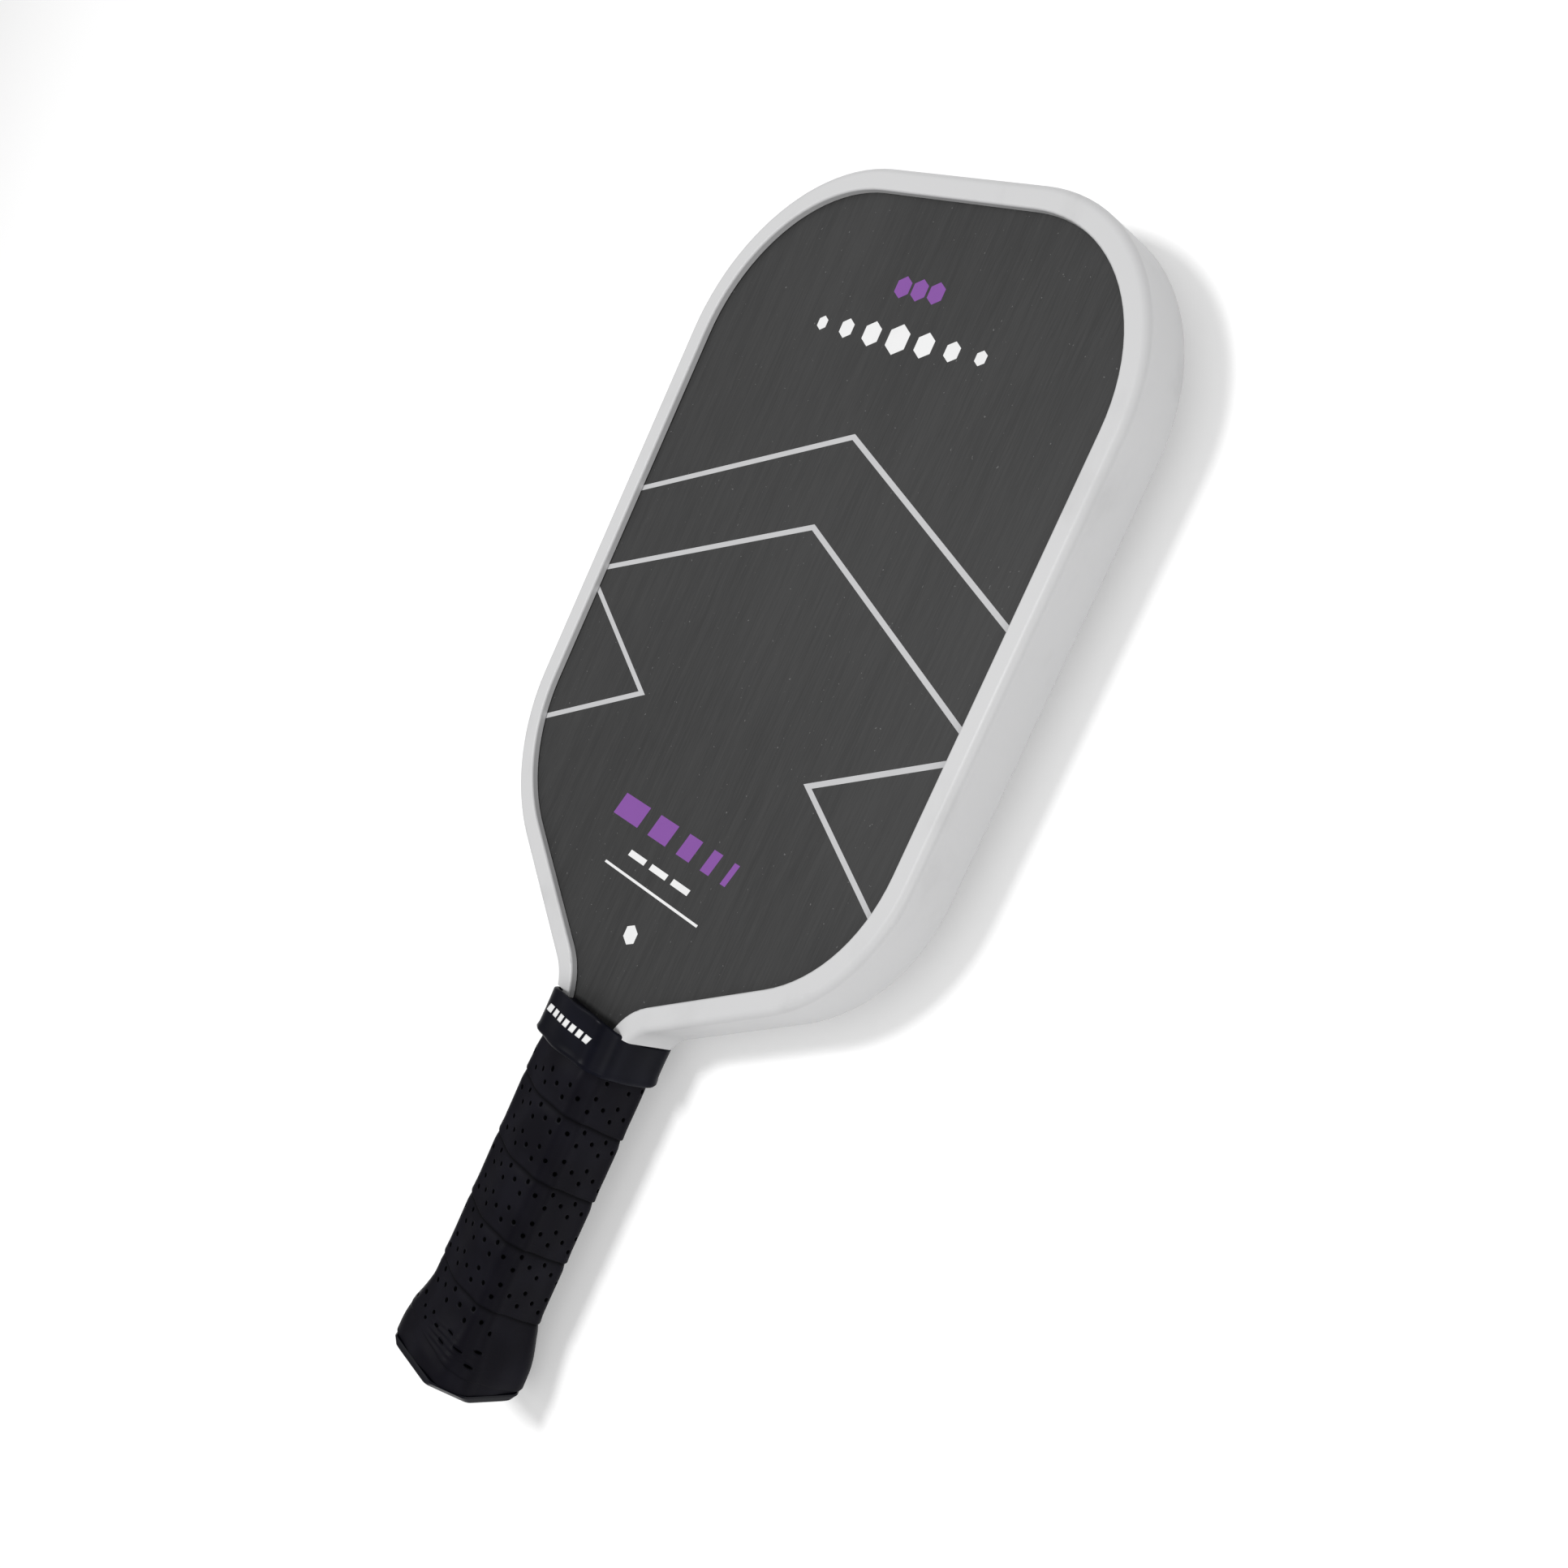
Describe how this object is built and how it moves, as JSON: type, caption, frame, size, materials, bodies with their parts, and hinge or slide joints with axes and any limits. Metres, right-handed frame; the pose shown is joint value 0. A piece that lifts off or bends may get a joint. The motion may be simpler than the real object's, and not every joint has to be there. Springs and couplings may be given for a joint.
{
  "type": "pickleball paddle",
  "caption": "Flat racket with a honeycomb-cored carbon panel, a moulded edge guard, an octagonal handle wound with cushion tape, a flared butt cap and a sliding rubber collar.",
  "frame": {"origin": "centre of the bottom of the whole paddle's box, with the paddle lying face up", "axes": "+X across the paddle, +Y from the butt towards the head, +Z out of the front face"},
  "size_m": [0.1944, 0.41, 0.0382],
  "materials": {
    "core_polymer": "translucent honeycomb",
    "bond_film": "cured adhesive film",
    "carbon_face": "matte, fine streaks along the paddle",
    "guard_plastic": "satin",
    "foam_tape": "foam tape",
    "pallet_foam": "rigid foam",
    "cap_plastic": "gloss",
    "badge_plastic": "satin",
    "staple_steel": "bright wire",
    "grip_cushion": "matte perforated cushion tape",
    "finish_tape": "satin tape",
    "collar_rubber": "smooth"
  },
  "bodies": {
    "paddle": {"core_panel": "core_polymer", "front_bond_film": "bond_film", "back_bond_film": "bond_film", "front_face_sheet": "carbon_face", "back_face_sheet": "carbon_face", "edge_guard": "guard_plastic", "edge_guard_tape": "foam_tape", "front_handle_pallet": "pallet_foam", "back_handle_pallet": "pallet_foam", "butt_cap": "cap_plastic", "butt_cap_badge": "badge_plastic", "butt_cap_staples": "staple_steel", "grip_wrap": "grip_cushion", "finishing_tape": "finish_tape"},
    "collar": {"grip_collar": "collar_rubber"}
  },
  "joints": [
    {"name": "collar_slide", "type": "slide", "parent": "paddle", "child": "collar", "axis": [0, -1, 0], "range_m": [0, 0.08]}
  ]
}
